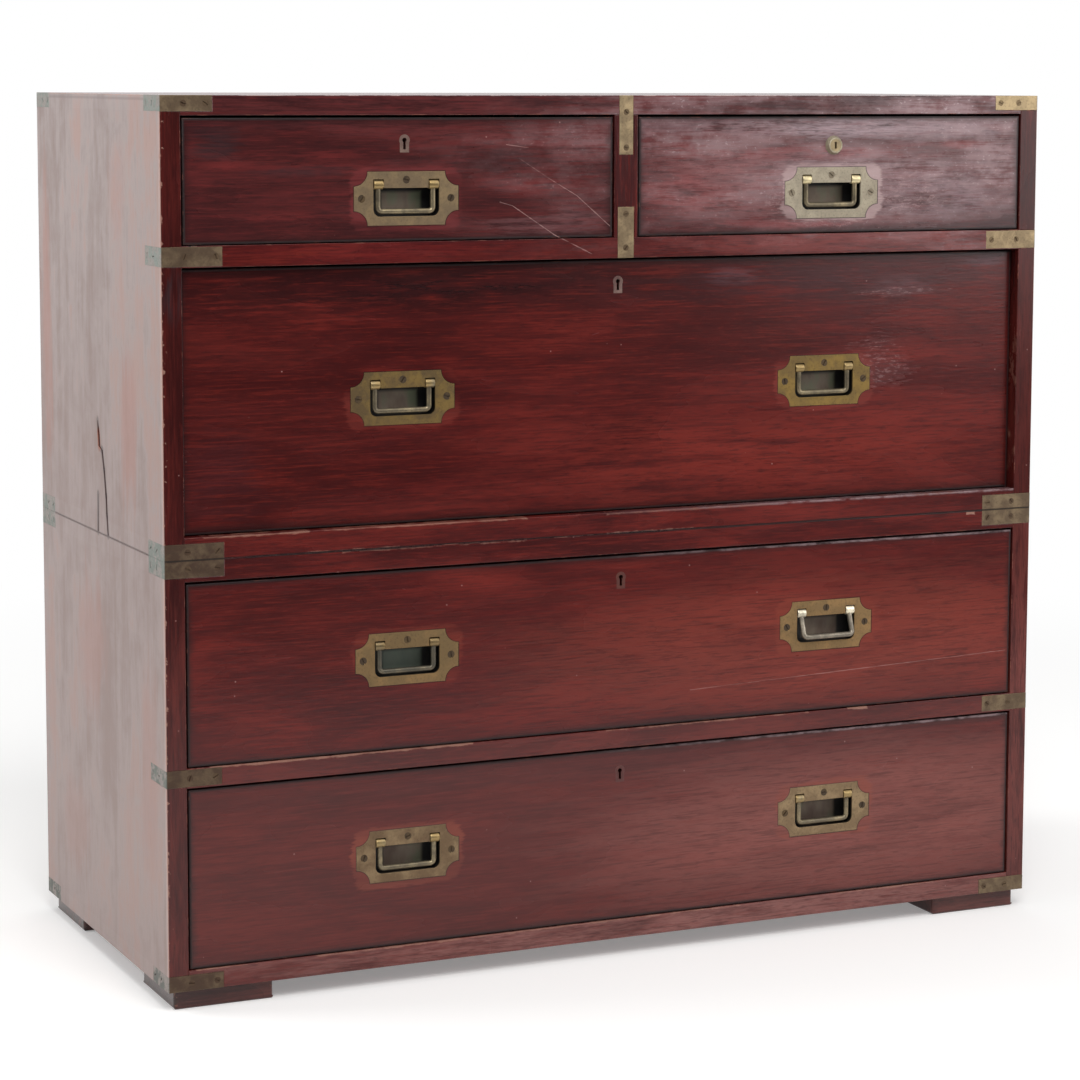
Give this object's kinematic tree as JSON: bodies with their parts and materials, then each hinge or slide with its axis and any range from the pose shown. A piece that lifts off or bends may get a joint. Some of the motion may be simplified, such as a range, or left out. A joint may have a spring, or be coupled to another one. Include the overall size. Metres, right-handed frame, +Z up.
{
  "type": "campaign chest",
  "caption": "Campaign chest in stacked sections, with small, deep and long drawers, recessed swing handles, inlaid brass corner straps, drawer locks and low block feet.",
  "frame": {"origin": "on the floor, under the middle of the chest's overall box at rest", "axes": "+X towards the right end as seen from the front, +Y towards the back, +Z up; the drawers open towards -Y"},
  "size_m": [0.99, 0.4432, 0.899],
  "materials": {
    "stained_hardwood": "dark red stain under a worn satin polish",
    "lining_wood": "planed and unpolished",
    "aged_brass": "aged, dull and lightly scratched",
    "bail_brass": "rubbed bright by hands",
    "screw_brass": "dark and dull",
    "lock_brass": "satin",
    "lock_steel": "filed and lightly oiled"
  },
  "bodies": {
    "lower_section": {"lower_top_board": "stained_hardwood", "lower_sides": "stained_hardwood", "lower_bottom_board": "stained_hardwood", "lower_back_panel": "lining_wood", "lower_rail_frame": "stained_hardwood", "feet": "stained_hardwood", "section_pegs": "lining_wood", "lower_straps": "aged_brass", "lower_strap_screws": "screw_brass"},
    "upper_section": {"upper_top_board": "stained_hardwood", "upper_sides": "stained_hardwood", "upper_bottom_board": "stained_hardwood", "upper_back_panel": "lining_wood", "upper_rail_frame": "stained_hardwood", "centre_divider": "stained_hardwood", "upper_straps": "aged_brass", "upper_strap_screws": "screw_brass"},
    "small_left_drawer": {"small_left_drawer_front": "stained_hardwood", "small_left_drawer_box": "lining_wood", "small_left_drawer_bottom": "lining_wood", "small_left_handle_plates": "aged_brass", "small_left_handle_screws": "screw_brass", "small_left_lock": "lock_brass"},
    "small_left_handle": {"small_left_bail": "bail_brass"},
    "small_left_bolt": {"small_left_lock_bolt": "lock_steel"},
    "small_right_drawer": {"small_right_drawer_front": "stained_hardwood", "small_right_drawer_box": "lining_wood", "small_right_drawer_bottom": "lining_wood", "small_right_handle_plates": "aged_brass", "small_right_handle_screws": "screw_brass", "small_right_lock": "lock_brass"},
    "small_right_handle": {"small_right_bail": "bail_brass"},
    "small_right_plug": {"small_right_lock_plug": "lock_brass"},
    "deep_drawer": {"deep_drawer_front": "stained_hardwood", "deep_drawer_box": "lining_wood", "deep_drawer_bottom": "lining_wood", "deep_handle_plates": "aged_brass", "deep_handle_screws": "screw_brass", "deep_lock": "lock_brass"},
    "deep_left_handle": {"deep_left_bail": "bail_brass"},
    "deep_right_handle": {"deep_right_bail": "bail_brass"},
    "deep_bolt": {"deep_lock_bolt": "lock_steel"},
    "upper_long_drawer": {"upper_long_drawer_front": "stained_hardwood", "upper_long_drawer_box": "lining_wood", "upper_long_drawer_bottom": "lining_wood", "upper_long_handle_plates": "aged_brass", "upper_long_handle_screws": "screw_brass", "upper_long_lock": "lock_brass"},
    "upper_long_left_handle": {"upper_long_left_bail": "bail_brass"},
    "upper_long_right_handle": {"upper_long_right_bail": "bail_brass"},
    "upper_long_bolt": {"upper_long_lock_bolt": "lock_steel"},
    "lower_long_drawer": {"lower_long_drawer_front": "stained_hardwood", "lower_long_drawer_box": "lining_wood", "lower_long_drawer_bottom": "lining_wood", "lower_long_handle_plates": "aged_brass", "lower_long_handle_screws": "screw_brass", "lower_long_lock": "lock_brass"},
    "lower_long_left_handle": {"lower_long_left_bail": "bail_brass"},
    "lower_long_right_handle": {"lower_long_right_bail": "bail_brass"},
    "lower_long_bolt": {"lower_long_lock_bolt": "lock_steel"}
  },
  "joints": [
    {"name": "upper_section_lift", "type": "slide", "parent": "lower_section", "child": "upper_section", "axis": [0, 0, 1], "range_m": [0, 0.06]},
    {"name": "small_left_drawer_slide", "type": "slide", "parent": "upper_section", "child": "small_left_drawer", "axis": [0, -1, 0], "range_m": [0, 0.34]},
    {"name": "small_left_bail_swing", "type": "hinge", "parent": "small_left_drawer", "child": "small_left_handle", "pos_m": [-0.241, -0.21017, 0.8111], "axis": [-1, 0, 0], "range_deg": [0, 90]},
    {"name": "small_left_bolt_throw", "type": "slide", "parent": "small_left_drawer", "child": "small_left_bolt", "axis": [0, 0, 1], "range_m": [0, 0.009]},
    {"name": "small_right_drawer_slide", "type": "slide", "parent": "upper_section", "child": "small_right_drawer", "axis": [0, -1, 0], "range_m": [0, 0.34]},
    {"name": "small_right_bail_swing", "type": "hinge", "parent": "small_right_drawer", "child": "small_right_handle", "pos_m": [0.241, -0.21017, 0.8111], "axis": [-1, 0, 0], "range_deg": [0, 90]},
    {"name": "small_right_plug_turn", "type": "hinge", "parent": "small_right_drawer", "child": "small_right_plug", "pos_m": [0.243, -0.21337, 0.8471], "axis": [0, -1, 0], "range_deg": [0, 90]},
    {"name": "deep_drawer_slide", "type": "slide", "parent": "upper_section", "child": "deep_drawer", "axis": [0, -1, 0], "range_m": [0, 0.33]},
    {"name": "deep_left_bail_swing", "type": "hinge", "parent": "deep_drawer", "child": "deep_left_handle", "pos_m": [-0.241, -0.19917, 0.6116], "axis": [-1, 0, 0], "range_deg": [0, 90]},
    {"name": "deep_right_bail_swing", "type": "hinge", "parent": "deep_drawer", "child": "deep_right_handle", "pos_m": [0.241, -0.19917, 0.6116], "axis": [-1, 0, 0], "range_deg": [0, 90]},
    {"name": "deep_bolt_throw", "type": "slide", "parent": "deep_drawer", "child": "deep_bolt", "axis": [0, 0, 1], "range_m": [0, 0.009]},
    {"name": "upper_long_drawer_slide", "type": "slide", "parent": "lower_section", "child": "upper_long_drawer", "axis": [0, -1, 0], "range_m": [0, 0.34]},
    {"name": "upper_long_left_bail_swing", "type": "hinge", "parent": "upper_long_drawer", "child": "upper_long_left_handle", "pos_m": [-0.241, -0.20967, 0.3496], "axis": [-1, 0, 0], "range_deg": [0, 90]},
    {"name": "upper_long_right_bail_swing", "type": "hinge", "parent": "upper_long_drawer", "child": "upper_long_right_handle", "pos_m": [0.241, -0.20967, 0.3496], "axis": [-1, 0, 0], "range_deg": [-20, 70]},
    {"name": "upper_long_bolt_throw", "type": "slide", "parent": "upper_long_drawer", "child": "upper_long_bolt", "axis": [0, 0, 1], "range_m": [0, 0.009]},
    {"name": "lower_long_drawer_slide", "type": "slide", "parent": "lower_section", "child": "lower_long_drawer", "axis": [0, -1, 0], "range_m": [0, 0.34]},
    {"name": "lower_long_left_bail_swing", "type": "hinge", "parent": "lower_long_drawer", "child": "lower_long_left_handle", "pos_m": [-0.241, -0.20967, 0.1481], "axis": [-1, 0, 0], "range_deg": [0, 90]},
    {"name": "lower_long_right_bail_swing", "type": "hinge", "parent": "lower_long_drawer", "child": "lower_long_right_handle", "pos_m": [0.241, -0.20967, 0.1481], "axis": [-1, 0, 0], "range_deg": [0, 90]},
    {"name": "lower_long_bolt_throw", "type": "slide", "parent": "lower_long_drawer", "child": "lower_long_bolt", "axis": [0, 0, 1], "range_m": [0, 0.009]}
  ]
}
